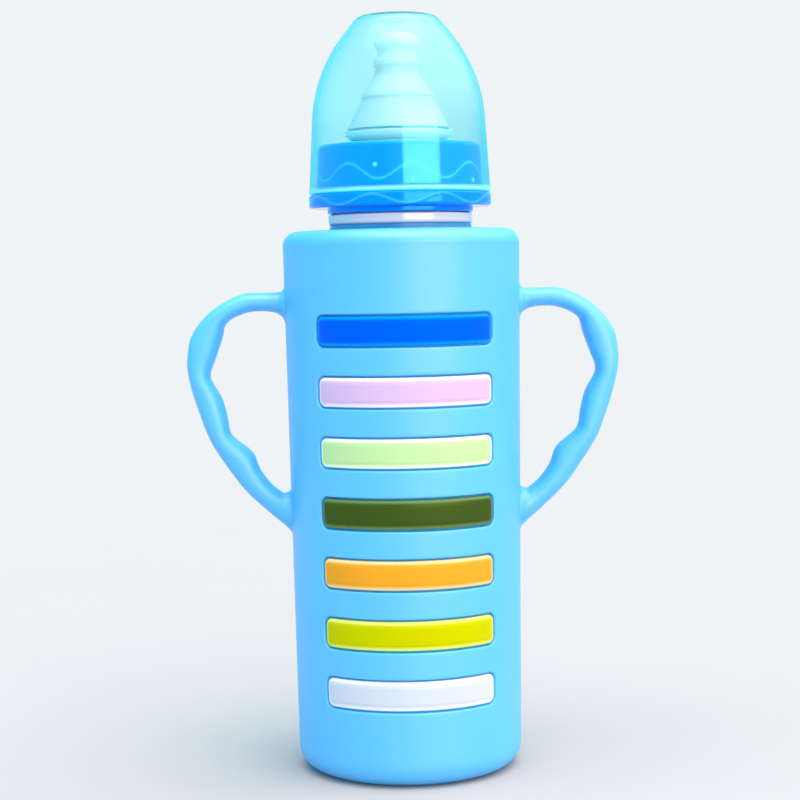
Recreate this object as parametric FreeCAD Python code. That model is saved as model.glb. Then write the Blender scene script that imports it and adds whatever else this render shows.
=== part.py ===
import FreeCAD, Part
import math
import os

# Glass baby bottle in a silicone sleeve with two handles, with a screw collar, a nipple and a hood.
# Millimetres, +Z up.  The origin is the centre of the base, the coloured strips face -Y, and the
# handles lie along X.  Every outline row is (radius, height, corner radius).

# Glass bottle, standard neck
GLASS_R = 26.8
GLASS_WALL = 2.2
GLASS_BASE_Z = 2.6
GLASS_CORNER = 5.0
PUNT_R = 15.5
PUNT_RISE = 1.6
SHOULDER_Z = 136.6
SHOULDER_CORNER = 6.0
NECK_FOOT_R = 19.0
NECK_FOOT_Z = 138.6
BEAD_R = 18.7
BEAD_Z = 142.0
BEAD_TOP_Z = 144.0
GROOVE_R = 18.3
NECK_R = 16.5
RIM_Z = 158.1
BORE_R = 14.2

# Screw thread between the neck and the collar
THREAD_PITCH = 4.0
THREAD_FOOT = 1.8
THREAD_CREST = 1.0
NECK_THREAD_CREST_R = 17.6
NECK_THREAD_Z = 150.2
NECK_THREAD_TURNS = 1.5
COLLAR_THREAD_CREST_R = 16.9
COLLAR_THREAD_Z = NECK_THREAD_Z - THREAD_PITCH / 2
COLLAR_THREAD_TURNS = 1.75
THREAD_SINK = 0.35

# Silicone sleeve: the wall leans inwards towards the base, as a moulding draws from its tool
SLEEVE_TOP_Z = 140.0
SLEEVE_TOP_R = 30.7
SLEEVE_BASE_R = 29.2
SLEEVE_FIT = 0.1
SLEEVE_BASE_CORNER = 6.0
SLEEVE_TOP_CORNER = 3.8
LIP_R = 19.8
DRAIN_R = 5.0
FOOT_R = 20.4
FOOT_RECESS = 0.8

# Seven coloured strips, in pockets on the front
STRIP_NAMES = ("blue", "pink", "pale_green", "olive", "orange", "lime", "white")
STRIP_TOP_Z = 114.8
STRIP_STEP = 15.18
STRIP_HEIGHT = 7.4
STRIP_HALF_ANGLE = 46.0
STRIP_DEPTH = 1.5
STRIP_CORNER = 1.85
STRIP_EDGE = 0.7
STRIP_GAP = 0.15
FRONT_ANGLE = -90

# Handles: pairs of points across the grip, from the upper root to the lower one, each row
# (inner x, inner z, outer x, outer z).  The inner side waves for the fingers.
HANDLE_DEPTH = 9.0
HANDLE_OVAL_POINTS = 8
HANDLE_ROOT_R = 28.4
HANDLE_STATIONS = (
    (27.5, 117.0, 27.5, 125.4),
    (31.6, 118.4, 31.4, 124.7),
    (35.5, 119.6, 35.5, 124.4),
    (40.5, 119.3, 41.5, 124.2),
    (45.2, 116.6, 49.2, 120.3),
    (46.9, 112.7, 54.6, 114.2),
    (48.3, 107.7, 56.1, 108.2),
    (49.7, 103.0, 56.0, 103.2),
    (47.6, 97.6, 54.7, 97.6),
    (45.6, 92.0, 52.7, 91.4),
    (44.4, 86.9, 50.1, 85.0),
    (40.2, 82.6, 46.0, 78.6),
    (37.5, 77.8, 42.2, 73.4),
    (34.0, 73.0, 37.2, 68.4),
    (25.0, 66.2, 29.0, 59.6),
)

# Screw collar
SKIRT_R = 18.85
SKIRT_Z = 144.3
FLANGE_R = 23.55
FLANGE_Z = 145.8
FLANGE_TOP_Z = 149.3
COLLAR_FOOT_R = 21.7
COLLAR_TOP_R = 21.0
COLLAR_TOP_Z = 161.9
COLLAR_BORE_R = 18.0
COLLAR_PLATE_Z = 160.3
COLLAR_HOLE_R = 12.4

# Nipple: one silicone moulding, clamped by its flange between the rim and the collar's plate
NIPPLE_FLANGE_R = 17.5
NIPPLE_Z = 158.2
NIPPLE_FLANGE_TOP_Z = 160.2
NIPPLE_NECK_R = 12.0
NIPPLE_BULGE_R = 13.9
NIPPLE_TIP_Z = 190.5
FEED_HOLE_R = 0.3

# Hood: it stands on the collar's flange
HOOD_Z = 149.4
HOOD_TOP_Z = 195.0
HOOD_FOOT_R = 23.4
HOOD_WALL = 1.25
HOOD_LIP = 0.15
HOOD_LIP_Z = 150.5

AXIS = FreeCAD.Vector(0, 0, 1)
CENTRE = FreeCAD.Vector(0, 0, 0)


def rounded_wire(corners):
    """A closed wire in the XZ plane, with an arc at each corner that has a radius."""
    points = [FreeCAD.Vector(r, 0, z) for r, z, _ in corners]
    edges = []
    spans = []
    for index, here in enumerate(points):
        radius = corners[index][2]
        back = (points[index - 1] - here).normalize()
        ahead = (points[(index + 1) % len(points)] - here).normalize()
        if radius == 0:
            spans.append((here, here))
            continue
        half = back.getAngle(ahead) / 2
        setback = radius / math.tan(half)
        inward = (back + ahead).normalize()
        nearest = here + inward * (radius / math.sin(half) - radius)
        spans.append((here + back * setback, here + ahead * setback))
        edges.append(Part.Arc(spans[-1][0], nearest, spans[-1][1]).toShape())
    for index, (arrive, leave) in enumerate(spans):
        following = spans[(index + 1) % len(spans)][0]
        if leave.distanceToPoint(following) > 1e-6:
            edges.append(Part.LineSegment(leave, following).toShape())
    return Part.Wire(Part.__sortEdges__(edges))


def turned(corners):
    """A solid of revolution about the bottle's axis."""
    return Part.Face(rounded_wire(corners)).revolve(CENTRE, AXIS, 360)


def thread_ridge(root_r, crest_r, start_z, turns):
    """A right-hand ridge, standing outwards or inwards from its root and sunk a little into it."""
    sunk_r = root_r + math.copysign(THREAD_SINK, root_r - crest_r)
    foot = THREAD_FOOT / 2
    crest = THREAD_CREST / 2
    section = Part.makePolygon([
        FreeCAD.Vector(sunk_r, 0, -foot),
        FreeCAD.Vector(root_r, 0, -foot),
        FreeCAD.Vector(crest_r, 0, -crest),
        FreeCAD.Vector(crest_r, 0, crest),
        FreeCAD.Vector(root_r, 0, foot),
        FreeCAD.Vector(sunk_r, 0, foot),
        FreeCAD.Vector(sunk_r, 0, -foot),
    ])
    helix = Part.makeHelix(THREAD_PITCH, THREAD_PITCH * turns, root_r)
    ridge = Part.Wire(helix.Edges).makePipeShell([section], True, True)
    ridge.translate(AXIS * start_z)
    return ridge


def sleeve_radius(z):
    """The drafted outer radius of the sleeve's wall at a height."""
    return SLEEVE_BASE_R + (SLEEVE_TOP_R - SLEEVE_BASE_R) * z / SLEEVE_TOP_Z


def glass_bottle():
    inner_r = GLASS_R - GLASS_WALL
    floor_z = GLASS_BASE_Z + PUNT_RISE + GLASS_WALL
    body = turned([
        (0, GLASS_BASE_Z + PUNT_RISE, 0),
        (PUNT_R, GLASS_BASE_Z + PUNT_RISE, 3.0),
        (PUNT_R + 4, GLASS_BASE_Z, 2.0),
        (GLASS_R, GLASS_BASE_Z, GLASS_CORNER),
        (GLASS_R, SHOULDER_Z, SHOULDER_CORNER),
        (NECK_FOOT_R, NECK_FOOT_Z, 1.0),
        (GROOVE_R, BEAD_Z - 0.8, 0.4),
        (BEAD_R, BEAD_Z, 0.3),
        (BEAD_R, BEAD_TOP_Z, 0.4),
        (NECK_R, BEAD_TOP_Z + 0.4, 0.3),
        (NECK_R, RIM_Z, 0.8),
        (BORE_R, RIM_Z, 0.8),
        (BORE_R, NECK_FOOT_Z, 3.0),
        (inner_r, SHOULDER_Z - 2.6, SHOULDER_CORNER),
        (inner_r, floor_z, GLASS_CORNER),
        (0, floor_z, 0),
    ])
    ridge = thread_ridge(NECK_R, NECK_THREAD_CREST_R, NECK_THREAD_Z, NECK_THREAD_TURNS)
    return body.fuse(ridge)


def is_radial(edge):
    """True for a straight, level edge that points at the axis."""
    first = edge.Vertexes[0].Point
    last = edge.Vertexes[-1].Point
    reach = math.hypot(last.x, last.y) - math.hypot(first.x, first.y)
    return abs(reach) > STRIP_DEPTH / 2 and abs(last.z - first.z) < 1e-6


def strip_centre(index):
    """The height of a strip's middle, counted from the top one."""
    return STRIP_TOP_Z - STRIP_STEP * index


def strip_slab(index, grow, proud):
    """A slab bent round the front, larger than a strip by grow, and proud of the drafted wall."""
    low = strip_centre(index) - STRIP_HEIGHT / 2 - grow
    high = strip_centre(index) + STRIP_HEIGHT / 2 + grow
    half_angle = STRIP_HALF_ANGLE + math.degrees(grow / SLEEVE_TOP_R)
    section = Part.makePolygon([
        FreeCAD.Vector(sleeve_radius(low) - STRIP_DEPTH, 0, low),
        FreeCAD.Vector(sleeve_radius(low) + proud, 0, low),
        FreeCAD.Vector(sleeve_radius(high) + proud, 0, high),
        FreeCAD.Vector(sleeve_radius(high) - STRIP_DEPTH, 0, high),
        FreeCAD.Vector(sleeve_radius(low) - STRIP_DEPTH, 0, low),
    ])
    slab = Part.Face(section).revolve(CENTRE, AXIS, 2 * half_angle)
    slab.rotate(CENTRE, AXIS, FRONT_ANGLE - half_angle)
    corners = [edge for edge in slab.Edges if is_radial(edge)]
    return slab.makeFillet(STRIP_CORNER + grow, corners)


def strip(index):
    """A coloured inlay, flush with the wall, with a softened front edge."""
    slab = strip_slab(index, 0.0, 0.0)
    middle_r = sleeve_radius(strip_centre(index)) - STRIP_DEPTH / 2
    rim = [edge for edge in slab.Edges if all(
        math.hypot(vertex.X, vertex.Y) > middle_r for vertex in edge.Vertexes)]
    return slab.makeFillet(STRIP_EDGE, rim)


def grip_oval(inner, outer):
    """A smooth oval across the grip, from its inner edge to its outer one."""
    middle = (inner + outer) / 2
    across = (outer - inner) / 2
    sideways = FreeCAD.Vector(0, HANDLE_DEPTH / 2, 0)
    turns = [2 * math.pi * step / HANDLE_OVAL_POINTS for step in range(HANDLE_OVAL_POINTS)]
    curve = Part.BSplineCurve()
    curve.interpolate(
        Points=[middle + across * math.cos(turn) + sideways * math.sin(turn) for turn in turns],
        PeriodicFlag=True)
    return Part.Wire(curve.toShape())


def handle():
    """The handle on the +X side, lofted through ovals and ended inside the sleeve's wall."""
    ovals = []
    for inner_x, inner_z, outer_x, outer_z in HANDLE_STATIONS:
        inner = FreeCAD.Vector(inner_x, 0, inner_z)
        outer = FreeCAD.Vector(outer_x, 0, outer_z)
        ovals.append(grip_oval(inner, outer))
    core = Part.makeCylinder(HANDLE_ROOT_R, SLEEVE_TOP_Z)
    return Part.makeLoft(ovals, True).cut(core)


def silicone_sleeve():
    inner_r = GLASS_R + SLEEVE_FIT
    lip_slope = (NECK_FOOT_Z - SHOULDER_Z) / (GLASS_R - NECK_FOOT_R)
    lip_z = SHOULDER_Z + 0.2 + lip_slope * (GLASS_R - LIP_R)
    body = turned([
        (DRAIN_R, FOOT_RECESS, 0.4),
        (FOOT_R - 0.8, FOOT_RECESS, 0.4),
        (FOOT_R, 0, 0.4),
        (SLEEVE_BASE_R, 0, SLEEVE_BASE_CORNER),
        (SLEEVE_TOP_R, SLEEVE_TOP_Z, SLEEVE_TOP_CORNER),
        (LIP_R, SLEEVE_TOP_Z, 0.6),
        (LIP_R, lip_z, 0.3),
        (inner_r, SHOULDER_Z + 0.2, SHOULDER_CORNER),
        (inner_r, GLASS_BASE_Z, GLASS_CORNER + SLEEVE_FIT),
        (DRAIN_R, GLASS_BASE_Z, 0.4),
    ])
    right = handle()
    left = right.mirror(CENTRE, FreeCAD.Vector(1, 0, 0))
    body = body.fuse([right, left])
    pockets = [strip_slab(index, STRIP_GAP, 1.0) for index in range(len(STRIP_NAMES))]
    return body.cut(pockets)


def screw_collar():
    body = turned([
        (COLLAR_BORE_R, SKIRT_Z, 0.3),
        (SKIRT_R, SKIRT_Z, 0.3),
        (SKIRT_R, FLANGE_Z, 0.2),
        (FLANGE_R, FLANGE_Z, 0.6),
        (FLANGE_R, FLANGE_TOP_Z, 0.6),
        (COLLAR_FOOT_R, FLANGE_TOP_Z, 0),
        (COLLAR_TOP_R, COLLAR_TOP_Z, 1.3),
        (COLLAR_HOLE_R, COLLAR_TOP_Z, 0.4),
        (COLLAR_HOLE_R, COLLAR_PLATE_Z, 0.2),
        (COLLAR_BORE_R, COLLAR_PLATE_Z, 0.5),
    ])
    ridge = thread_ridge(
        COLLAR_BORE_R, COLLAR_THREAD_CREST_R, COLLAR_THREAD_Z, COLLAR_THREAD_TURNS)
    return body.fuse(ridge)


def nipple():
    return turned([
        (NIPPLE_NECK_R - 1.8, NIPPLE_Z, 0.3),
        (NIPPLE_FLANGE_R, NIPPLE_Z, 0.4),
        (NIPPLE_FLANGE_R, NIPPLE_FLANGE_TOP_Z, 0.4),
        (NIPPLE_NECK_R, NIPPLE_FLANGE_TOP_Z, 0.3),
        (NIPPLE_NECK_R, 162.7, 0.5),
        (NIPPLE_BULGE_R, 164.0, 0.8),
        (NIPPLE_BULGE_R, 165.5, 0.4),
        (13.3, 165.9, 0.3),
        (9.35, 173.7, 0.3),
        (9.65, 174.2, 0.3),
        (9.35, 175.3, 0.3),
        (8.9, 175.6, 0.3),
        (6.1, 179.7, 2.4),
        (5.75, 181.8, 0.3),
        (6.25, 182.1, 0.1),
        (6.25, 183.4, 0.1),
        (5.7, 183.7, 0.3),
        (4.9, 185.8, 1.4),
        (6.35, 187.6, 1.6),
        (4.4, NIPPLE_TIP_Z, 2.6),
        (FEED_HOLE_R, NIPPLE_TIP_Z, 0),
        (FEED_HOLE_R, NIPPLE_TIP_Z - 1.6, 0),
        (3.6, NIPPLE_TIP_Z - 1.6, 1.6),
        (4.4, 187.2, 1.0),
        (3.5, 185.8, 1.5),
        (4.2, 181.0, 3.0),
        (7.6, 174.6, 2.0),
        (12.0, 165.6, 1.2),
        (12.0, 164.8, 0.5),
        (NIPPLE_NECK_R - 1.8, 162.8, 0.8),
    ])


def hood():
    inner_foot_r = HOOD_FOOT_R - HOOD_WALL
    return turned([
        (inner_foot_r, HOOD_Z, 0.3),
        (HOOD_FOOT_R + HOOD_LIP, HOOD_Z, 0.4),
        (HOOD_FOOT_R + HOOD_LIP, HOOD_LIP_Z, 0.3),
        (HOOD_FOOT_R, HOOD_LIP_Z + 0.5, 0.3),
        (21.7, 180.5, 38.0),
        (10.1, HOOD_TOP_Z, 4.0),
        (0, HOOD_TOP_Z, 0),
        (0, HOOD_TOP_Z - HOOD_WALL, 0),
        (9.4, HOOD_TOP_Z - HOOD_WALL, 3.0),
        (20.5, 179.9, 36.8),
    ])


def export(shape, name):
    """Write one node, as a solid with its needless seams removed."""
    shape.removeSplitter().exportStep("parts/%s.step" % name)


os.makedirs("parts", exist_ok=True)
export(glass_bottle(), "glass_bottle")
export(silicone_sleeve(), "silicone_sleeve")
for number, colour in enumerate(STRIP_NAMES):
    export(strip(number), "strip_" + colour)
export(nipple(), "nipple")
export(screw_collar(), "screw_collar")
export(hood(), "hood")
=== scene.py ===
import math

import bmesh
import bpy
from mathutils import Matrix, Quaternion, Vector


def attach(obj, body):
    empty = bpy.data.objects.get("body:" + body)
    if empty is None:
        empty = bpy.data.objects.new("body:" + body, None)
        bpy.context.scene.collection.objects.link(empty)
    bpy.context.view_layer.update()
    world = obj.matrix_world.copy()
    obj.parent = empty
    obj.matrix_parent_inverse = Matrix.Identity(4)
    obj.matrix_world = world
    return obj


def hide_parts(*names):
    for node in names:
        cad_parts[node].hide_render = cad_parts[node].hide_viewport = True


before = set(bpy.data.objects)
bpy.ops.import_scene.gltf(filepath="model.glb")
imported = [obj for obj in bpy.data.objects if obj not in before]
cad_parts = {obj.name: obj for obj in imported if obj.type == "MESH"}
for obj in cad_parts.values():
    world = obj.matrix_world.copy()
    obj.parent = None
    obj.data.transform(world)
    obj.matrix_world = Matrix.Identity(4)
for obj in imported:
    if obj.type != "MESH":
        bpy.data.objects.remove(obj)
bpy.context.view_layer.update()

# The bottle is built in millimetres and scaled to metres as each mesh is made.  Z is up, the
# coloured strips face -Y, and angles round the axis are in degrees from +X, so the front is 270.
MM = 0.001
FRONT = 270
MERGE_DISTANCE = 1e-4
ON_AXIS = 1e-6

# The sleeve's outer wall tapers a little towards its base.  Its grid's columns go round it.
SLEEVE_TOP_Z = 140.0
SLEEVE_TOP_R = 30.7
SLEEVE_BASE_R = 29.2
COLUMNS = 180
COLUMN_STEP = 360 / COLUMNS

# The coloured inlays from the top down: name, colour of the face and colour of the edge, a painted
# highlight
STRIPS = (
    ("blue", (0.0, 0.095, 0.84), (0.0, 0.29, 0.86)),
    ("pink", (0.56, 0.43, 0.70), (0.88, 0.88, 0.95)),
    ("pale_green", (0.42, 0.68, 0.33), (0.80, 0.96, 0.80)),
    ("olive", (0.034, 0.070, 0.008), (0.11, 0.23, 0.08)),
    ("orange", (0.71, 0.33, 0.022), (0.95, 0.66, 0.32)),
    ("lime", (0.46, 0.52, 0.0), (0.70, 0.86, 0.20)),
    ("white", (0.49, 0.59, 0.70), (0.80, 0.90, 0.95)),
)
STRIP_TOP_Z = 114.8
STRIP_STEP = 15.18
STRIP_HALF_HEIGHT = 3.7
STRIP_HALF_ANGLE = 46.0
STRIP_CORNER = 1.85
POCKET_DEPTH = 1.5
INLAY_LIFT = 0.03
INLAY_CROWN = 0.1

# The pocket's mouth and the inlay's edge, from the outside in: how far a loop is outside the
# strip's outline, and its depth below the wall.  An inlay's loops also have a share of painted
# highlight.
POCKET_LOOPS = (
    (1.5, 0), (1.05, 0), (0.78, 0.015), (0.6, 0.08), (0.5, 0.24), (0.45, 0.5), (0.42, 1.0),
    (0.3, POCKET_DEPTH), (-0.9, POCKET_DEPTH),
)
INLAY_LOOPS = (
    (-0.9, POCKET_DEPTH - INLAY_LIFT, 1), (0.0, POCKET_DEPTH - INLAY_LIFT, 1), (0.0, 1.0, 1),
    (-0.02, 0.62, 1), (-0.12, 0.36, 1), (-0.3, 0.17, 1), (-0.55, 0.06, 0.8), (-0.85, 0.01, 0.3),
    (-1.25, 0.0, 0.0),
)

# A window's cell of the sleeve's grid, in columns and rows, and the vertices in half a corner
CELL_COLUMNS = 52
CELL_ROWS = 10
CELL_HALF_HEIGHT = 6.6
HALF_CORNER = 4

# The grid's rows below the lowest cell and above the highest, and the gap to the turned parts
ROWS_BELOW = 7
ROWS_ABOVE = 11
SEAM = 0.4

# A handle root's cell, how far each of its loops is from the cell to the root's oval, and the
# sections of the handle between its two roots
ROOT_COLUMNS = 16
ROOT_ROWS = 15
ROOT_SHARES = (0.35, 0.65, 0.86, 1.0)
HANDLE_SECTIONS = 72
HANDLE_HALF_DEPTH = 4.5
HANDLE_FLARE = 0.9
HANDLE_FLARE_SECTIONS = 1.6
HANDLE_FULLNESS = 2.3
PATH_PARTS = 12

# The handle's inner and outer edges as (distance from the axis, height), from the top down
HANDLE_INNER = (
    (31.0, 117.9), (32.6, 119.0), (35.5, 119.6), (40.5, 119.3), (45.6, 116.8), (46.9, 112.7),
    (48.7, 107.7), (50.2, 102.7), (47.4, 97.3), (46.0, 92.0), (45.0, 87.5), (39.8, 83.0),
    (37.9, 78.4), (35.0, 74.4), (31.8, 71.8),
)
HANDLE_OUTER = (
    (31.0, 124.9), (32.2, 124.5), (35.5, 124.4), (41.5, 124.2), (49.2, 120.3), (54.6, 114.2),
    (56.1, 108.2), (56.0, 103.2), (54.7, 97.6), (52.7, 91.4), (50.1, 85.0), (46.0, 78.6),
    (42.2, 73.4), (37.2, 68.4), (31.2, 63.2),
)

# A root's middle height, half height and half width, and the height its cell starts from
UPPER_ROOT = (121.2, 4.6, 5.4)
LOWER_ROOT = (67.2, 5.4, 5.2)
UPPER_ROOT_CELL_Z = 112.41
LOWER_ROOT_CELL_Z = 56.97


# ---------------------------------------------------------------- outlines and turned pieces

def rounded(corners, step=12):
    """An outline of (distance from the axis, height) points, from corners with a third value.

    That value is the radius of the corner's arc, or 0 for a sharp corner.  An arc's points are
    at most step degrees, or about a millimetre, apart.
    """
    points = []
    for index, (r, z, radius) in enumerate(corners):
        here = Vector((r, z))
        if radius == 0:
            points.append(here)
            continue
        back = (Vector(corners[index - 1][:2]) - here).normalized()
        ahead = (Vector(corners[(index + 1) % len(corners)][:2]) - here).normalized()
        half = back.angle(ahead) / 2
        centre = here + (back + ahead).normalized() * (radius / math.sin(half))
        first = here + back * (radius / math.tan(half)) - centre
        last = here + ahead * (radius / math.tan(half)) - centre
        turn = math.atan2(first.x * last.y - first.y * last.x, first.dot(last))
        count = max(2, round(abs(math.degrees(turn)) / step), round(abs(turn) * radius))
        for part in range(count + 1):
            angle = turn * part / count
            points.append(centre + Vector((
                first.x * math.cos(angle) - first.y * math.sin(angle),
                first.x * math.sin(angle) + first.y * math.cos(angle))))
    return points


def refined(points, longest):
    """The outline with every run that is longer than longest divided evenly."""
    result = [points[0]]
    for here, ahead in zip(points, points[1:]):
        count = max(1, math.ceil((ahead - here).length / longest))
        result += [here.lerp(ahead, part / count) for part in range(1, count + 1)]
    return result


def polar(r, degrees, z):
    """The point at a distance from the axis, an angle round it and a height."""
    angle = math.radians(degrees)
    return Vector((r * math.cos(angle), r * math.sin(angle), z))


def finish_mesh(name, mesh, material, body, nodes, subdivide=0):
    """Scales a bmesh to metres, smooths it, and puts it on its body in place of its CAD nodes."""
    bmesh.ops.remove_doubles(mesh, verts=mesh.verts, dist=MERGE_DISTANCE)
    bmesh.ops.recalc_face_normals(mesh, faces=mesh.faces)
    bmesh.ops.scale(mesh, vec=(MM, MM, MM), verts=mesh.verts)
    data = bpy.data.meshes.new(name)
    mesh.to_mesh(data)
    mesh.free()
    data.shade_smooth()
    data.materials.append(material)
    piece = bpy.data.objects.new(name, data)
    bpy.context.scene.collection.objects.link(piece)
    if subdivide:
        smooth = piece.modifiers.new("smooth", "SUBSURF")
        smooth.levels = subdivide
        smooth.render_levels = subdivide
    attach(piece, body)
    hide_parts(*nodes)
    return piece


def turned(outline, segments, relief=None, painted_shading_share=None):
    """A closed outline swept round the axis.

    relief(point, degrees) gives a radius to add, and the other function a place's share of painted
    light and shade.
    """
    mesh = bmesh.new()
    # Each vertex can hold a share of painted light and shade.
    painted_shading = mesh.verts.layers.float.new("painted_shading") if painted_shading_share else None
    rings = []
    for point in outline:
        if point.x < ON_AXIS:
            rings.append([mesh.verts.new((0, 0, point.y))] * segments)
            continue
        ring = []
        for index in range(segments):
            degrees = 360 * index / segments
            extra = relief(point, degrees) if relief else 0
            vertex = mesh.verts.new(polar(point.x + extra, degrees, point.y))
            if painted_shading_share:
                vertex[painted_shading] = painted_shading_share(point, degrees)
            ring.append(vertex)
        rings.append(ring)
    closed = outline[0].x > ON_AXIS
    pairs = list(zip(rings, rings[1:])) + ([(rings[-1], rings[0])] if closed else [])
    for low, high in pairs:
        for index in range(segments):
            after = (index + 1) % segments
            corners = dict.fromkeys((low[index], low[after], high[after], high[index]))
            if len(corners) > 2:
                mesh.faces.new(corners)
    return mesh


# ---------------------------------------------------------------- materials

# How dark the darker patches of an uneven tone are, as a share of the colour
SILICONE_DEPTH = 0.93
CLEAR_DEPTH = 0.97


def node(tree, kind, **values):
    """A shader node with its settings and unlinked input values."""
    made = tree.nodes.new(kind)
    for key, value in values.items():
        if key in made.inputs:
            made.inputs[key].default_value = value
        else:
            setattr(made, key, value)
    return made


def material(name):
    """A new node material, and its tree, principled shader and object coordinates."""
    made = bpy.data.materials.new(name)
    made.use_nodes = True
    tree = made.node_tree
    shader = tree.nodes["Principled BSDF"]
    place = tree.nodes.new("ShaderNodeTexCoord").outputs["Object"]
    return made, tree, shader, place


def ranged(tree, factor, low, high):
    """The factor, from 0 to 1, mapped to a range."""
    mapper = tree.nodes.new("ShaderNodeMapRange")
    tree.links.new(factor, mapper.inputs["Value"])
    mapper.inputs["To Min"].default_value = low
    mapper.inputs["To Max"].default_value = high
    return mapper.outputs["Result"]


def blended(tree, factor, first, second):
    """A mix of two colours, each a colour or a socket."""
    mix = tree.nodes.new("ShaderNodeMix")
    mix.data_type = "RGBA"
    tree.links.new(factor, mix.inputs[0])
    for socket, value in ((mix.inputs[6], first), (mix.inputs[7], second)):
        if isinstance(value, bpy.types.NodeSocket):
            tree.links.new(value, socket)
        else:
            socket.default_value = (*value, 1)
    return mix.outputs[2]


def facing(tree, direction, vector):
    """The part of the direction along a vector, from -1 to 1."""
    dot = node(tree, "ShaderNodeVectorMath", operation="DOT_PRODUCT")
    dot.inputs[1].default_value = vector
    tree.links.new(direction, dot.inputs[0])
    return dot.outputs["Value"]


def ramped(tree, value, nothing, everything):
    """A smooth step that is 0 at one value and 1 at the other."""
    ramp = node(tree, "ShaderNodeMapRange", interpolation_type="SMOOTHSTEP")
    ramp.inputs["From Min"].default_value = nothing
    ramp.inputs["From Max"].default_value = everything
    tree.links.new(value, ramp.inputs["Value"])
    return ramp.outputs["Result"]


def calculated(tree, operation, first, second=None):
    """A math node on a socket and a second socket or number."""
    math_node = node(tree, "ShaderNodeMath", operation=operation)
    tree.links.new(first, math_node.inputs[0])
    if isinstance(second, bpy.types.NodeSocket):
        tree.links.new(second, math_node.inputs[1])
    elif second is not None:
        math_node.inputs[1].default_value = second
    return math_node.outputs[0]


def cloudy(tree, place, scale, detail=3.0):
    """A soft noise factor."""
    texture = tree.nodes.new("ShaderNodeTexNoise")
    texture.inputs["Scale"].default_value = scale
    texture.inputs["Detail"].default_value = detail
    tree.links.new(place, texture.inputs["Vector"])
    return texture.outputs["Fac"]


def bumped(tree, shader, heights):
    """Stacks (factor, strength, distance) bumps into the shader's normal."""
    normal = None
    for factor, strength, distance in heights:
        bump = tree.nodes.new("ShaderNodeBump")
        bump.inputs["Strength"].default_value = strength
        bump.inputs["Distance"].default_value = distance
        tree.links.new(factor, bump.inputs["Height"])
        if normal:
            tree.links.new(normal, bump.inputs["Normal"])
        normal = bump.outputs["Normal"]
    tree.links.new(normal, shader.inputs["Normal"])


def silicone(name, colour, edge_highlight_colour=None, gloss=0.45, glow=0.12, shine=0.5,
             shine_tint=(1, 1, 1)):
    """Moulded silicone: soft-lit, a little uneven in tone, the mould's fine matte grain, and any
    edge colour as a painted highlight.
    """
    made, tree, shader, place = material(name)
    tone = cloudy(tree, place, scale=28)
    deep = tuple(SILICONE_DEPTH * channel for channel in colour)
    shade = blended(tree, tone, deep, colour)
    # The edge colour is a painted highlight, laid on by the attribute's share.
    if edge_highlight_colour:
        painted_shading = node(tree, "ShaderNodeAttribute", attribute_name="painted_shading").outputs["Fac"]
        shade = blended(tree, painted_shading, shade, edge_highlight_colour)
    tree.links.new(shade, shader.inputs["Base Color"])
    roughness = ranged(tree, cloudy(tree, place, scale=90), gloss - 0.05, gloss + 0.07)
    tree.links.new(roughness, shader.inputs["Roughness"])
    shader.inputs["IOR"].default_value = 1.42
    shader.inputs["Specular IOR Level"].default_value = shine
    shader.inputs["Specular Tint"].default_value = (*shine_tint, 1)
    shader.inputs["Subsurface Weight"].default_value = glow
    shader.inputs["Subsurface Radius"].default_value = (0.7, 0.9, 1.0)
    shader.inputs["Subsurface Scale"].default_value = 0.002
    bumped(tree, shader, (
        (cloudy(tree, place, scale=2600, detail=2.0), 0.10, 0.00006),
        (cloudy(tree, place, scale=45), 0.12, 0.0006),
    ))
    return made


def clear(name, tint, density, roughness, index, haze=0.0, haze_colour=(1, 1, 1),
          shine=0.5, shine_tint=(1, 1, 1), painted_shading_colour=None, painted_shading_haze=0.0, glow=0.0):
    """A see-through solid whose colour deepens with thickness, with faint flow marks, and painted
    light and shade as colour and cloudiness where the mesh's attribute marks them.
    """
    made, tree, shader, place = material(name)
    shader.inputs["Specular IOR Level"].default_value = shine
    shader.inputs["Specular Tint"].default_value = (*shine_tint, 1)
    shader.inputs["Transmission Weight"].default_value = 1.0 - haze
    shader.inputs["Subsurface Weight"].default_value = glow
    shader.inputs["Subsurface Radius"].default_value = (0.8, 0.9, 1.0)
    shader.inputs["Subsurface Scale"].default_value = 0.004
    shader.inputs["IOR"].default_value = index
    tone = cloudy(tree, place, scale=40)
    deep = tuple(CLEAR_DEPTH * channel for channel in haze_colour)
    shade = blended(tree, tone, deep, haze_colour)
    # The attribute's share lays on a colour and cloudiness that paint light and shade.
    if painted_shading_colour:
        painted_shading = node(tree, "ShaderNodeAttribute", attribute_name="painted_shading").outputs["Fac"]
        shade = blended(tree, painted_shading, shade, painted_shading_colour)
        if painted_shading_haze:
            clearness = ranged(tree, painted_shading, 1.0 - haze, 1.0 - painted_shading_haze)
            tree.links.new(clearness, shader.inputs["Transmission Weight"])
    tree.links.new(shade, shader.inputs["Base Color"])
    uneven = ranged(tree, cloudy(tree, place, scale=120), roughness * 0.8, roughness * 1.25)
    tree.links.new(uneven, shader.inputs["Roughness"])
    depth = tree.nodes.new("ShaderNodeVolumeAbsorption")
    depth.inputs["Color"].default_value = (*tint, 1)
    depth.inputs["Density"].default_value = density
    tree.links.new(depth.outputs[0], tree.nodes["Material Output"].inputs["Volume"])
    bumped(tree, shader, ((cloudy(tree, place, scale=70), 0.08, 0.0004),))
    return made


# ---------------------------------------------------------------- sleeve

def sleeve_radius(z):
    """The radius of the sleeve's outer wall at a height."""
    return SLEEVE_BASE_R + (SLEEVE_TOP_R - SLEEVE_BASE_R) * z / SLEEVE_TOP_Z


def strip_centre(index):
    """The height of the middle of a strip, counted from the top."""
    return STRIP_TOP_Z - STRIP_STEP * index


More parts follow.
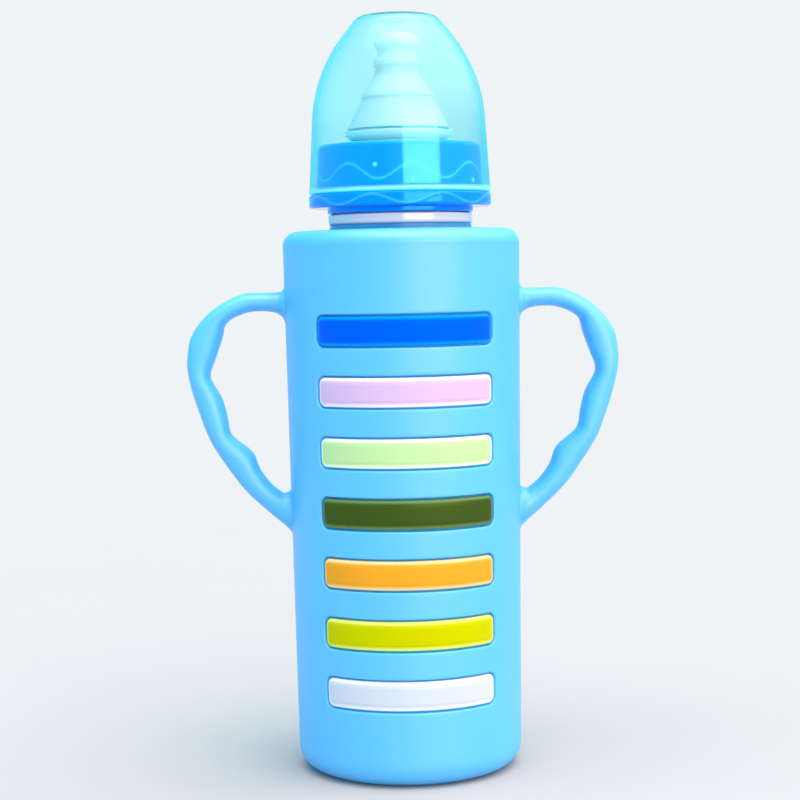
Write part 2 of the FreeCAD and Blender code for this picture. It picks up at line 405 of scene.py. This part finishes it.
def perimeter(columns, rows):
    """Grid places (column, row) round a cell, anticlockwise from its low left corner."""
    low = [(column, 0) for column in range(columns)]
    right = [(columns, row) for row in range(rows)]
    high = [(column, rows) for column in range(columns, 0, -1)]
    left = [(0, row) for row in range(rows, 0, -1)]
    return low + right + high + left


def corner_share(step, count, straight):
    """Where a place along a window's side lies: (along the straight, angle into the corner)."""
    if step <= HALF_CORNER:
        return -straight, 45 * (HALF_CORNER - step) / HALF_CORNER
    if step >= count - HALF_CORNER:
        return straight, 45 * (step - count + HALF_CORNER) / HALF_CORNER
    return straight * (2 * (step - HALF_CORNER) / (count - 2 * HALF_CORNER) - 1), 0


def window_point(place, grow):
    """A place of the cell's perimeter on the window's rounded outline, as (across, up)."""
    column, row = place
    radius = STRIP_CORNER + grow
    half_width = math.radians(STRIP_HALF_ANGLE) * SLEEVE_TOP_R - STRIP_CORNER
    half_height = STRIP_HALF_HEIGHT - STRIP_CORNER
    if row in (0, CELL_ROWS):
        along, turn = corner_share(column, CELL_COLUMNS, half_width)
        side = 1 if row else -1
        lean = math.radians(turn)
        across = along + math.copysign(radius * math.sin(lean), along)
        return across, side * (half_height + radius * math.cos(lean))
    along, turn = corner_share(row, CELL_ROWS, half_height)
    side = 1 if column else -1
    lean = math.radians(turn)
    up = along + math.copysign(radius * math.sin(lean), along)
    return side * (half_width + radius * math.cos(lean)), up


def window_ring(mesh, places, centre_z, grow, depth):
    """One loop of vertices round a window, at a depth below the sleeve's wall."""
    ring = []
    for place in places:
        across, up = window_point(place, grow)
        z = centre_z + up
        degrees = FRONT + math.degrees(across / SLEEVE_TOP_R)
        ring.append(mesh.verts.new(polar(sleeve_radius(z) - depth, degrees, z)))
    return ring


def bridge(mesh, first, second):
    """Faces between two loops of as many vertices."""
    count = len(first)
    return [
        mesh.faces.new((first[i], first[(i + 1) % count], second[(i + 1) % count], second[i]))
        for i in range(count)
    ]


def cell_corners(grid, column, after, row):
    """The four vertices round one cell of a grid, between two columns and above a row."""
    return grid[column, row], grid[after, row], grid[after, row + 1], grid[column, row + 1]


def fill_window(mesh, places, ring, crown):
    """Fills a window's loop with a grid that follows the wall, swollen by crown in the middle."""
    grid = dict(zip(places, ring))
    flat = {}
    for place, vertex in grid.items():
        degrees = math.degrees(math.atan2(vertex.co.y, vertex.co.x)) % 360
        depth = sleeve_radius(vertex.co.z) - math.hypot(vertex.co.x, vertex.co.y)
        flat[place] = Vector((degrees, vertex.co.z, depth))
    for column in range(1, CELL_COLUMNS):
        for row in range(1, CELL_ROWS):
            u = column / CELL_COLUMNS
            v = row / CELL_ROWS
            ends = flat[0, row].lerp(flat[CELL_COLUMNS, row], u)
            sides = flat[column, 0].lerp(flat[column, CELL_ROWS], v)
            low = flat[0, 0].lerp(flat[CELL_COLUMNS, 0], u)
            high = flat[0, CELL_ROWS].lerp(flat[CELL_COLUMNS, CELL_ROWS], u)
            degrees, z, depth = ends + sides - low.lerp(high, v)
            swell = crown * (1 - (2 * v - 1) ** 2) * (1 - (2 * u - 1) ** 8)
            grid[column, row] = mesh.verts.new(polar(sleeve_radius(z) - depth + swell, degrees, z))
    for column in range(CELL_COLUMNS):
        for row in range(CELL_ROWS):
            mesh.faces.new(cell_corners(grid, column, column + 1, row))


def sleeve_rows():
    """Heights of the grid's rows on the outer wall, from low to high."""
    rows = []
    for index in reversed(range(len(STRIPS))):
        low = strip_centre(index) - CELL_HALF_HEIGHT
        rows += [low + 2 * CELL_HALF_HEIGHT * row / CELL_ROWS for row in range(CELL_ROWS + 1)]
    step = 2 * CELL_HALF_HEIGHT / CELL_ROWS
    below = [rows[0] - step * count for count in range(ROWS_BELOW, 0, -1)]
    above = [rows[-1] + step * count for count in range(1, ROWS_ABOVE + 1)]
    return below + rows + above


def smooth_path(points, count):
    """count + 1 points, evenly spaced on a Catmull-Rom curve through the given ones."""
    knots = [Vector(p) for p in points]
    knots = [2 * knots[0] - knots[1]] + knots + [2 * knots[-1] - knots[-2]]
    fine = []
    for a, b, c, d in zip(knots, knots[1:], knots[2:], knots[3:]):
        for part in range(PATH_PARTS):
            t = part / PATH_PARTS
            bend = (2 * a - 5 * b + 4 * c - d) * t ** 2
            fine.append(0.5 * (2 * b + (c - a) * t + bend + (3 * b - a - 3 * c + d) * t ** 3))
    fine.append(knots[-2])
    return [fine[round(index * (len(fine) - 1) / count)] for index in range(count + 1)]


def oval_share(place):
    """The direction of a root cell's perimeter place on an oval, as (sideways, outwards)."""
    column, row = place
    x = 2 * column / ROOT_COLUMNS - 1
    y = 2 * row / ROOT_ROWS - 1
    longest = max(abs(x), abs(y))
    angle = math.atan2(y / longest, x / longest)
    full = 2 / HANDLE_FULLNESS
    sideways = math.copysign(abs(math.cos(angle)) ** full, math.cos(angle))
    outwards = math.copysign(abs(math.sin(angle)) ** full, math.sin(angle))
    return sideways, outwards


def add_root(mesh, grid, side, first_column, first_row, root, flip):
    """Opens a cell of the wall towards a handle's root oval and returns the oval's loop.

    With flip, the loop runs the other way up, to meet the handle's last section.
    """
    centre_z, half_height, half_width = root
    base = 0 if side > 0 else 180
    places = perimeter(ROOT_COLUMNS, ROOT_ROWS)
    outer = [grid[(first_column + column) % COLUMNS, first_row + row] for column, row in places]
    previous = outer
    for share in ROOT_SHARES:
        ring = []
        for place, start in zip(places, outer):
            sideways, upwards = oval_share(place)
            z = centre_z + half_height * upwards
            degrees = base + math.degrees(half_width * sideways / SLEEVE_TOP_R)
            turn = math.degrees(math.atan2(start.co.y, start.co.x))
            gap = (degrees - turn + 180) % 360 - 180
            height = start.co.z + (z - start.co.z) * share
            ring.append(mesh.verts.new(polar(sleeve_radius(height), turn + gap * share, height)))
        bridge(mesh, previous, ring)
        previous = ring
    order = range(len(places))
    if flip:
        lookup = {place: index for index, place in enumerate(places)}
        order = [lookup[column, ROOT_ROWS - row] for column, row in places]
    return [previous[index] for index in order]


def add_handle(mesh, grid, side, first_column, rows):
    """A handle on one side of the sleeve, from its upper root to its lower one."""
    places = perimeter(ROOT_COLUMNS, ROOT_ROWS)
    upper = add_root(mesh, grid, side, first_column, rows[0], UPPER_ROOT, False)
    lower = add_root(mesh, grid, side, first_column, rows[1], LOWER_ROOT, True)
    inner = smooth_path(HANDLE_INNER, HANDLE_SECTIONS)
    outer = smooth_path(HANDLE_OUTER, HANDLE_SECTIONS)
    previous = upper
    for index, (low, high) in enumerate(zip(inner, outer)):
        middle = (low + high) / 2
        across = (high - low) / 2
        from_root = min(index, HANDLE_SECTIONS - index)
        flare = HANDLE_FLARE * math.exp(-from_root / HANDLE_FLARE_SECTIONS)
        ring = []
        for place in places:
            sideways, outwards = oval_share(place)
            point = middle + across * outwards
            depth = (HANDLE_HALF_DEPTH + flare) * sideways * side
            ring.append(mesh.verts.new((side * point.x, depth, point.y)))
        bridge(mesh, previous, ring)
        previous = ring
    bridge(mesh, previous, lower)


def wall_ring(mesh, r, z):
    """A loop of the sleeve's vertices round the axis, one for each column."""
    return [mesh.verts.new(polar(r, column * COLUMN_STEP, z)) for column in range(COLUMNS)]


def cells(first_column, first_row, columns, rows):
    """The places of a block of the wall's grid."""
    return {((first_column + column) % COLUMNS, first_row + row)
            for column in range(columns) for row in range(rows)}


def row_near(rows, z):
    """The number of the grid's row that is nearest to a height."""
    return min(range(len(rows)), key=lambda row: abs(rows[row] - z))


def build_sleeve(skin):
    """The sleeve: its outer wall is a grid with cells opened for the pockets and handles."""
    rows = sleeve_rows()
    mesh = bmesh.new()
    wall = [wall_ring(mesh, sleeve_radius(z), z) for z in rows]
    grid = {(column, row): wall[row][column]
            for row in range(len(rows)) for column in range(COLUMNS)}
    taken = set()

    window_column = round(FRONT / COLUMN_STEP) - CELL_COLUMNS // 2
    places = perimeter(CELL_COLUMNS, CELL_ROWS)
    for index in range(len(STRIPS)):
        first_row = ROWS_BELOW + (len(STRIPS) - 1 - index) * (CELL_ROWS + 1)
        taken |= cells(window_column, first_row, CELL_COLUMNS, CELL_ROWS)
        previous = [grid[window_column + column, first_row + row] for column, row in places]
        for grow, depth in POCKET_LOOPS:
            ring = window_ring(mesh, places, strip_centre(index), grow, depth)
            bridge(mesh, previous, ring)
            previous = ring
        fill_window(mesh, places, previous, 0)

    root_rows = (row_near(rows, UPPER_ROOT_CELL_Z), row_near(rows, LOWER_ROOT_CELL_Z))
    for side in (1, -1):
        first_column = (0 if side > 0 else COLUMNS // 2) - ROOT_COLUMNS // 2
        for first_row in root_rows:
            taken |= cells(first_column, first_row, ROOT_COLUMNS, ROOT_ROWS)
        add_handle(mesh, grid, side, first_column, root_rows)

    for row in range(len(rows) - 1):
        for column in range(COLUMNS):
            if (column, row) not in taken:
                mesh.faces.new(cell_corners(grid, column, (column + 1) % COLUMNS, row))

    outline = refined(rounded([
        (SLEEVE_TOP_R, rows[-1] + SEAM, 0),
        (SLEEVE_TOP_R, SLEEVE_TOP_Z, 3.8),
        (19.8, SLEEVE_TOP_Z, 0.6),
        (19.8, 138.65, 0.3),
        (26.9, 136.8, 6.0),
        (26.9, 2.6, 5.1),
        (5.0, 2.6, 0.4),
        (5.0, 0.8, 0.4),
        (19.6, 0.8, 0.4),
        (20.4, 0, 0.4),
        (SLEEVE_BASE_R, 0, 6.0),
        (sleeve_radius(rows[0]), rows[0] - SEAM, 0),
    ]), longest=6)
    previous = wall[-1]
    for point in outline:
        ring = wall_ring(mesh, point.x, point.y)
        bridge(mesh, previous, ring)
        previous = ring
    bridge(mesh, previous, wall[0])
    return finish_mesh("sleeve", mesh, skin, "bottle", ["silicone_sleeve"], 1)


def build_strip(index, name, skin):
    """A coloured inlay in its pocket: a slab with a pillowed edge, which carries a painted
    highlight.
    """
    mesh = bmesh.new()
    painted_shading = mesh.verts.layers.float.new("painted_shading")
    places = perimeter(CELL_COLUMNS, CELL_ROWS)
    centre_z = strip_centre(index)
    rings = [window_ring(mesh, places, centre_z, grow, depth) for grow, depth, share in INLAY_LOOPS]
    fill_window(mesh, places, rings[0], 0)
    for first, second in zip(rings, rings[1:]):
        bridge(mesh, first, second)
    fill_window(mesh, places, rings[-1], INLAY_CROWN)
    for ring, (grow, depth, share) in zip(rings, INLAY_LOOPS):
        for vertex in ring:
            vertex[painted_shading] = share
    piece = finish_mesh("strip_" + name + "_inlay", mesh, skin, "bottle", ["strip_" + name], 1)
    return piece


# ---------------------------------------------------------------- glass, collar, nipple and hood

# A zone is the part of an outline beyond a distance from the axis and between two heights.
NECK_ZONE = (16, 138, 160)
NECK_THREAD_ZONE = (16, 147.4, 157.6)
# The bead's zone carries the glass's painted highlight and, in its groove, a painted reflection.
BEAD_ZONE = (17, 139, 144.3)
# The nipple's crease zone carries a dark line of painted shade.
CREASE_ZONE = (12.9, 165.25, 165.85)

THREAD_PITCH = 4.0
THREAD_HEIGHT = 1.1
THREAD_HALF_WIDTH = 0.95
THREAD_SLOPE = 0.45
THREAD_FADE = 0.06
NECK_THREAD_Z = 150.2
NECK_THREAD_TURNS = 1.5
COLLAR_THREAD_Z = 148.2
COLLAR_THREAD_TURNS = 1.75

# The painted reflection of the sleeve's blue in the groove under the neck's bead fades in between
# these heights, in metres.
GROOVE_TOP = 0.1418
GROOVE_LOW = 0.1414
GROOVE_PAINTED_REFLECTION = (0.04, 0.36, 0.72)


def in_zone(point, zone):
    """Whether an outline's point is in a zone."""
    distance, low, high = zone
    return point.x > distance and low < point.y < high


def thread_height(point, degrees, start_z, turns):
    """The height of a right-hand thread ridge over its root at a place on the wall."""
    best = 0
    base = start_z + THREAD_PITCH * degrees / 360
    for turn in range(math.ceil(turns) + 1):
        centre = base + THREAD_PITCH * turn
        along = degrees / 360 + turn
        if along > turns:
            continue
        ends = min(1, along / THREAD_FADE, (turns - along) / THREAD_FADE)
        off = abs(point.y - centre)
        rise = min(1, max(0, (THREAD_HALF_WIDTH - off) / THREAD_SLOPE))
        best = max(best, rise * rise * (3 - 2 * rise) * ends)
    return THREAD_HEIGHT * best


def neck_painted_light(point, degrees):
    """Painted light on the glass: the neck's bead and the groove under it are clouded, and the bead
    whitened as a painted highlight.
    """
    return 1 if in_zone(point, BEAD_ZONE) else 0


def glass_skin():
    """Clear glass, with a painted white highlight on the neck's bead and a painted reflection of
    the sleeve's blue in the groove under it.
    """
    # The bead's near-white colour and cloudiness are a painted highlight.
    made = clear("bottle glass", (0.80, 0.95, 0.97), 12, 0.03, 1.5, haze=0.15,
                 haze_colour=(0.96, 0.99, 1.0), painted_shading_colour=(0.97, 1.0, 1.0), painted_shading_haze=0.65)
    tree = made.node_tree
    shade = tree.nodes["Principled BSDF"].inputs["Base Color"]
    place = tree.nodes.new("ShaderNodeTexCoord").outputs["Object"]
    # Low in the bead's zone the sleeve's blue is painted in as a reflection.
    low = ramped(tree, facing(tree, place, (0, 0, 1)), GROOVE_TOP, GROOVE_LOW)
    painted_shading = node(tree, "ShaderNodeAttribute", attribute_name="painted_shading").outputs["Fac"]
    painted_reflection = calculated(tree, "MULTIPLY", low, painted_shading)
    tree.links.new(blended(tree, painted_reflection, shade.links[0].from_socket, GROOVE_PAINTED_REFLECTION), shade)
    return made


def build_glass(skin):
    """The glass body, hollow, with its neck's bead and screw thread."""
    def relief(point, degrees):
        if not in_zone(point, NECK_THREAD_ZONE):
            return 0
        return thread_height(point, degrees, NECK_THREAD_Z, NECK_THREAD_TURNS)

    outline = rounded([
        (0, 4.2, 0),
        (15.5, 4.2, 3.0),
        (19.5, 2.6, 2.0),
        (26.8, 2.6, 5.0),
        (26.8, 136.6, 6.0),
        (19.0, 138.6, 1.0),
        (18.3, 141.2, 0.4),
        (18.7, 142.0, 0.3),
        (18.7, 144.0, 0.4),
        (16.5, 144.4, 0.3),
        (16.5, 158.1, 0.8),
        (14.2, 158.1, 0.8),
        (14.2, 138.6, 3.0),
        (24.6, 134.0, 6.0),
        (24.6, 6.4, 5.0),
        (0, 6.4, 0),
    ])
    fine = []
    for here, ahead in zip(outline, outline[1:]):
        fine += refined([here, ahead], longest=0.25 if in_zone(here, NECK_ZONE) else 6)[:-1]
    fine.append(outline[-1])
    mesh = turned(fine, segments=160, relief=relief, painted_shading_share=neck_painted_light)
    return finish_mesh("glass", mesh, skin, "bottle", ["glass_bottle"])


WAVES = 8
RIDGE_HEIGHT = 0.2
WAVE_SHARE = 0.42
FLANGE_WAVE_SHARE = 0.6
# The collar's flat top, above this height, is painted paler by this share, as painted light.
COLLAR_TOP_Z = 161.8
COLLAR_TOP_PAINTED_LIGHT = 0.8

# The collar's wall and flange from these distances outwards, and its thread inside this one
WALL_FROM_R = 20.5
FLANGE_FROM_R = 23.4
FLANGE_TOP_Z = 149.4
THREAD_TO_R = 18.6
THREAD_FROM_Z = 147.2
THREAD_TO_Z = 157.5

# The raised waves: middle height, swing, half width of the line and turn from the front.  The
# dots: turn of the first one from the front, height, and the turn from one to the next.
FLANGE_WAVE = (147.45, 1.2, 0.26, 19)
WALL_WAVE = (154.4, -2.0, 0.28, 15)
DOTS = ((-17.5, 155.9, 90), (7.5, 151.9, 90), (55.5, 151.9, 180))
DOT_R = 0.55
COLLAR_WALL_R = 21.5


def wave_line(point, from_front, wave):
    """How much of a raised wave is at a place, at a turn from the front."""
    middle, swing, half_width, turn = wave
    line = middle + swing * math.cos(math.radians(WAVES * (from_front + turn)))
    return WAVE_SHARE * math.exp(-((point.y - line) / half_width) ** 2)


def collar_ridge(point, degrees):
    """How much of a raised line or dot, from 0 to 1, is at a place on the collar's outside."""
    from_front = degrees - FRONT
    if point.x < WALL_FROM_R:
        return 0
    if point.y < FLANGE_TOP_Z:
        if point.x < FLANGE_FROM_R:
            return 0
        return FLANGE_WAVE_SHARE * wave_line(point, from_front, FLANGE_WAVE)
    ridge = wave_line(point, from_front, WALL_WAVE)
    for offset, height, every in DOTS:
        nearest = (from_front - offset + every / 2) % every - every / 2
        away = math.hypot(math.radians(nearest) * COLLAR_WALL_R, point.y - height)
        ridge = max(ridge, math.exp(-(away / DOT_R) ** 4))
    return ridge


def collar_painted_light(point, degrees):
    """Painted light on the collar: its raised lines and dots are painted paler as highlights, and
    its flat top paler than its sides.
    """
    return COLLAR_TOP_PAINTED_LIGHT if point.y > COLLAR_TOP_Z else collar_ridge(point, degrees)


def build_collar(skin):
    """The screw collar with its flange, internal thread and raised waves and dots."""
    def relief(point, degrees):
        if point.x < THREAD_TO_R and THREAD_FROM_Z < point.y < THREAD_TO_Z:
            return -thread_height(point, degrees, COLLAR_THREAD_Z, COLLAR_THREAD_TURNS)
        return RIDGE_HEIGHT * collar_ridge(point, degrees)

    outline = rounded([
        (18.0, 144.3, 0.3),
        (18.85, 144.3, 0.3),
        (18.85, 145.8, 0.2),
        (23.55, 145.8, 0.6),
        (23.55, 149.3, 0.6),
        (21.7, 149.3, 0.15),
        (21.0, 161.9, 1.3),
        (12.4, 161.9, 0.4),
        (12.4, 160.3, 0.2),
        (18.0, 160.3, 0.5),
    ])
    outline.append(outline[0])
    fine = []
    for here, ahead in zip(outline, outline[1:]):
        wall = abs(here.x - ahead.x) < 1 and abs(here.y - ahead.y) > 0.5
        fine += refined([here, ahead], longest=0.2 if wall else 2)[:-1]
    mesh = turned(fine, segments=320, relief=relief, painted_shading_share=collar_painted_light)
    return finish_mesh("collar", mesh, skin, "collar", ["screw_collar"])


def nipple_painted_shade(point, degrees):
    """Painted shade on the nipple: a dark line is painted in the crease above its bulged base."""
    return 1 if in_zone(point, CREASE_ZONE) else 0


def build_nipple(skin):
    """The nipple: clamping flange, bulged base, stepped cone and teat, with a feed hole."""
    outline = rounded([
        (10.2, 158.2, 0.3),
        (17.5, 158.2, 0.4),
        (17.5, 160.2, 0.4),
        (12.0, 160.2, 0.3),
        (12.0, 162.7, 0.5),
        (13.9, 164.0, 0.8),
        (13.9, 165.2, 0.3),
        (12.95, 165.35, 0.1),
        (12.95, 165.75, 0.1),
        (13.3, 165.9, 0.1),
        (9.35, 173.7, 0.3),
        (9.65, 174.2, 0.3),
        (9.35, 175.3, 0.3),
        (8.9, 175.6, 0.3),
        (6.1, 179.7, 2.4),
        (5.75, 181.8, 0.3),
        (6.25, 182.1, 0.1),
        (6.25, 183.4, 0.1),
        (5.7, 183.7, 0.3),
        (4.9, 185.8, 1.4),
        (6.35, 187.6, 1.6),
        (4.4, 190.5, 2.6),
        (0.3, 190.5, 0.1),
        (0.3, 188.9, 0.1),
        (3.6, 188.9, 1.6),
        (4.4, 187.2, 1.0),
        (3.5, 185.8, 1.5),
        (4.2, 181.0, 3.0),
        (7.6, 174.6, 2.0),
        (12.0, 165.6, 1.2),
        (12.0, 164.8, 0.5),
        (10.2, 162.7, 0.8),
    ], step=15)
    mesh = turned(refined(outline, longest=1.5), segments=128, painted_shading_share=nipple_painted_shade)
    return finish_mesh("teat", mesh, skin, "nipple", ["nipple"])


# The hood's clouded foot, painted pale as painted light, is full this far below the height where it
# starts.
# The milkiness of its dome, partly real and partly a painted reflection, grows over a longer way
# up, to a small share.
FOOT_Z = 150.4
FOOT_FADE = 0.4
DOME_Z = 162
DOME_FADE = 12
DOME_SHARE = 0.05


def hood_painted_light(point, degrees):
    """Painted light on the hood: its foot is clouded and painted pale cyan, and its dome is a
    little milky, partly as a painted reflection.
    """
    foot = min(1, max(0, (FOOT_Z - point.y) / FOOT_FADE))
    dome = min(1, max(0, (point.y - DOME_Z) / DOME_FADE))
    return max(foot, DOME_SHARE * dome)


def build_hood(skin):
    """The dome, which lets soft light through to the nipple instead of shading it."""
    outline = rounded([
        (0, 195.0, 0),
        (10.1, 195.0, 4.0),
        (21.7, 180.5, 38.0),
        (23.4, 151.0, 0.3),
        (23.55, 150.5, 0.3),
        (23.55, 149.4, 0.4),
        (22.15, 149.4, 0.3),
        (20.5, 179.9, 36.8),
        (9.4, 193.75, 3.0),
        (0, 193.75, 0),
    ], step=6)
    mesh = turned(refined(outline, longest=1.1), segments=160, painted_shading_share=hood_painted_light)
    piece = finish_mesh("dome", mesh, skin, "hood", ["hood"])
    piece.visible_shadow = False
    return piece


# ---------------------------------------------------------------- floor, light and camera

FLOOR_TONES = ((0.382, 0.407, 0.413), (0.402, 0.427, 0.433))


def build_floor():
    """A wide, matt and pale floor."""
    bpy.ops.mesh.primitive_plane_add(size=200, location=(0, 0, 0))
    floor = bpy.context.object
    floor.name = "floor"
    made, tree, shader, place = material("floor")
    tone = cloudy(tree, place, scale=5)
    tree.links.new(blended(tree, tone, *FLOOR_TONES), shader.inputs["Base Color"])
    shader.inputs["Roughness"].default_value = 1.0
    shader.inputs["Specular IOR Level"].default_value = 0.0
    floor.data.materials.append(made)


def towards(azimuth, elevation):
    """A unit vector.  Azimuth 0 is the camera's side, positive to its right."""
    a = math.radians(azimuth)
    e = math.radians(elevation)
    return math.sin(a) * math.cos(e), -math.cos(a) * math.cos(e), math.sin(e)


def added(tree, total, amount, colour):
    """The total light, a colour or a socket, with a colour added by an amount."""
    tinted = node(tree, "ShaderNodeVectorMath", operation="SCALE")
    tinted.inputs[0].default_value = colour
    tree.links.new(amount, tinted.inputs["Scale"])
    plus = node(tree, "ShaderNodeVectorMath", operation="ADD")
    tree.links.new(tinted.outputs[0], plus.inputs[1])
    if isinstance(total, bpy.types.NodeSocket):
        tree.links.new(total, plus.inputs[0])
    else:
        plus.inputs[0].default_value = total
    return plus.outputs[0]


# Patches of light: azimuth, elevation, tightness, colour
GLOWS = (
    (34, 22, 5, (1.05, 0.6, 0.5)),
    (100, 48, 10, (1.75, 1.55, 1.45)),
    (-80, 5, 4, (0.15, 0.85, 1.10)),
    (10, 80, 16, (5.2, 4.1, 3.8)),
    (180, 20, 3, (0.05, 0.55, 0.70)),
)
# A tall window of light.  Its half width and heights are sines of angles, and each pair of
# heights is where a part of it has faded out and where it is full.
WINDOW_AZIMUTH = 28
WINDOW_HALF_WIDTH = 0.41
WINDOW_SOFTNESS = 0.02
WINDOW_FOOT = (-0.08, 0.0)
WINDOW_LOWER = (0.28, 0.16)
WINDOW_UPPER = (0.85, 0.25)
WINDOW_UPPER_SHARE = 0.2
WINDOW_COLOUR = (8.0, 6.4, 6.0)
AMBIENT = (0.24, 0.42, 0.50)
BACKDROP = (0.86, 0.90, 0.92)


def build_world():
    """Soft light from all round, and an even backdrop as seen directly and through clear parts."""
    world = bpy.data.worlds.new("studio")
    world.use_nodes = True
    tree = world.node_tree
    direction = tree.nodes.new("ShaderNodeTexCoord").outputs["Generated"]
    light = AMBIENT
    for azimuth, elevation, tightness, colour in GLOWS:
        ahead = ramped(tree, facing(tree, direction, towards(azimuth, elevation)), 0.0, 1.0)
        light = added(tree, light, calculated(tree, "POWER", ahead, tightness), colour)

    sideways = facing(tree, direction, towards(WINDOW_AZIMUTH + 90, 0))
    across = ramped(tree, calculated(tree, "ABSOLUTE", sideways),
                    WINDOW_HALF_WIDTH + WINDOW_SOFTNESS, WINDOW_HALF_WIDTH - WINDOW_SOFTNESS)
    ahead = ramped(tree, facing(tree, direction, towards(WINDOW_AZIMUTH, 0)), 0.0, 0.3)
    height = facing(tree, direction, (0, 0, 1))
    lower = ramped(tree, height, *WINDOW_LOWER)
    upper = calculated(tree, "MULTIPLY", ramped(tree, height, *WINDOW_UPPER), WINDOW_UPPER_SHARE)
    standing = ramped(tree, height, *WINDOW_FOOT)
    upright = calculated(tree, "MULTIPLY", standing, calculated(tree, "MAXIMUM", lower, upper))
    window = calculated(tree, "MULTIPLY", calculated(tree, "MULTIPLY", across, ahead), upright)
    light = added(tree, light, window, WINDOW_COLOUR)

    rays = tree.nodes.new("ShaderNodeLightPath")
    bounces = calculated(tree, "ADD", rays.outputs["Diffuse Depth"], rays.outputs["Glossy Depth"])
    straight = calculated(tree, "LESS_THAN", bounces, 0.5)
    through = calculated(tree, "MULTIPLY", rays.outputs["Is Transmission Ray"], straight)
    lit = blended(tree, through, light, BACKDROP)
    tree.links.new(blended(tree, rays.outputs["Is Camera Ray"], lit, BACKDROP),
                   tree.nodes["Background"].inputs["Color"])
    bpy.context.scene.world = world


# In metres, degrees and, for the lens and sensor, millimetres
CAMERA_DISTANCE = 0.494
CAMERA_HEIGHT = 0.1303
CAMERA_AZIMUTH = -1.2
CAMERA_PITCH = 4.0
CAMERA_PAN = 0.12
CAMERA_ROLL = 1.12
CAMERA_LENS = 85.3
CAMERA_SENSOR = 36


def build_camera():
    """The camera, a little to the left of the front and looking slightly down."""
    data = bpy.data.cameras.new("camera")
    data.lens = CAMERA_LENS
    data.sensor_width = CAMERA_SENSOR
    camera = bpy.data.objects.new("camera", data)
    a = math.radians(CAMERA_AZIMUTH)
    camera.location = (CAMERA_DISTANCE * math.sin(a), -CAMERA_DISTANCE * math.cos(a), CAMERA_HEIGHT)
    heading = a + math.radians(CAMERA_PAN)
    pitch = math.radians(CAMERA_PITCH)
    level = math.cos(pitch)
    forward = Vector((-math.sin(heading) * level, math.cos(heading) * level, -math.sin(pitch)))
    roll = Quaternion((0, 0, 1), math.radians(-CAMERA_ROLL))
    camera.rotation_mode = "QUATERNION"
    camera.rotation_quaternion = forward.to_track_quat("-Z", "Y") @ roll
    bpy.context.scene.collection.objects.link(camera)
    bpy.context.scene.camera = camera


# ---------------------------------------------------------------- the bottle

sleeve = build_sleeve(silicone(
    "sleeve silicone", (0.075, 0.47, 0.92), gloss=0.42, glow=0.35, shine=1.0))
# Each inlay's edge colour is a painted highlight on its pillowed edge.
for number, (colour_name, face, edge) in enumerate(STRIPS):
    shine_tint = tuple(math.sqrt(channel / max(face)) for channel in face)
    skin = silicone("inlay " + colour_name, face, edge, gloss=0.28, glow=0.03, shine=0.25,
                    shine_tint=shine_tint)
    build_strip(number, colour_name, skin)
glass = build_glass(glass_skin())
# The collar's paler colour on its relief and top is painted light.
collar = build_collar(clear(
    "collar plastic", (0.0, 0.85, 1.0), 300, 0.10, 1.45, haze=0.85, haze_colour=(0.0, 0.27, 1.0),
    shine=0.65, shine_tint=(0.12, 0.85, 1.0), painted_shading_colour=(0.15, 0.90, 1.0)))
# The nipple's dark teal colour and cloudiness in its crease are painted shade.
teat = build_nipple(clear(
    "nipple silicone", (0.95, 0.99, 1.0), 10, 0.15, 1.41, haze=0.5, haze_colour=(0.66, 0.83, 0.88),
    painted_shading_colour=(0.08, 0.42, 0.50), painted_shading_haze=0.9, glow=1.0))
# The hood's pale cyan foot is painted light, and its dome's slight milkiness is partly a painted
# reflection.
dome = build_hood(clear(
    "hood plastic", (0.12, 0.94, 1.0), 330, 0.08, 1.42, haze_colour=(0.97, 0.99, 1.0),
    shine_tint=(0.30, 0.80, 1.0), painted_shading_colour=(0.10, 0.85, 1.0), painted_shading_haze=0.85))

build_floor()
build_world()
build_camera()
bpy.context.scene.view_settings.view_transform = "Standard"
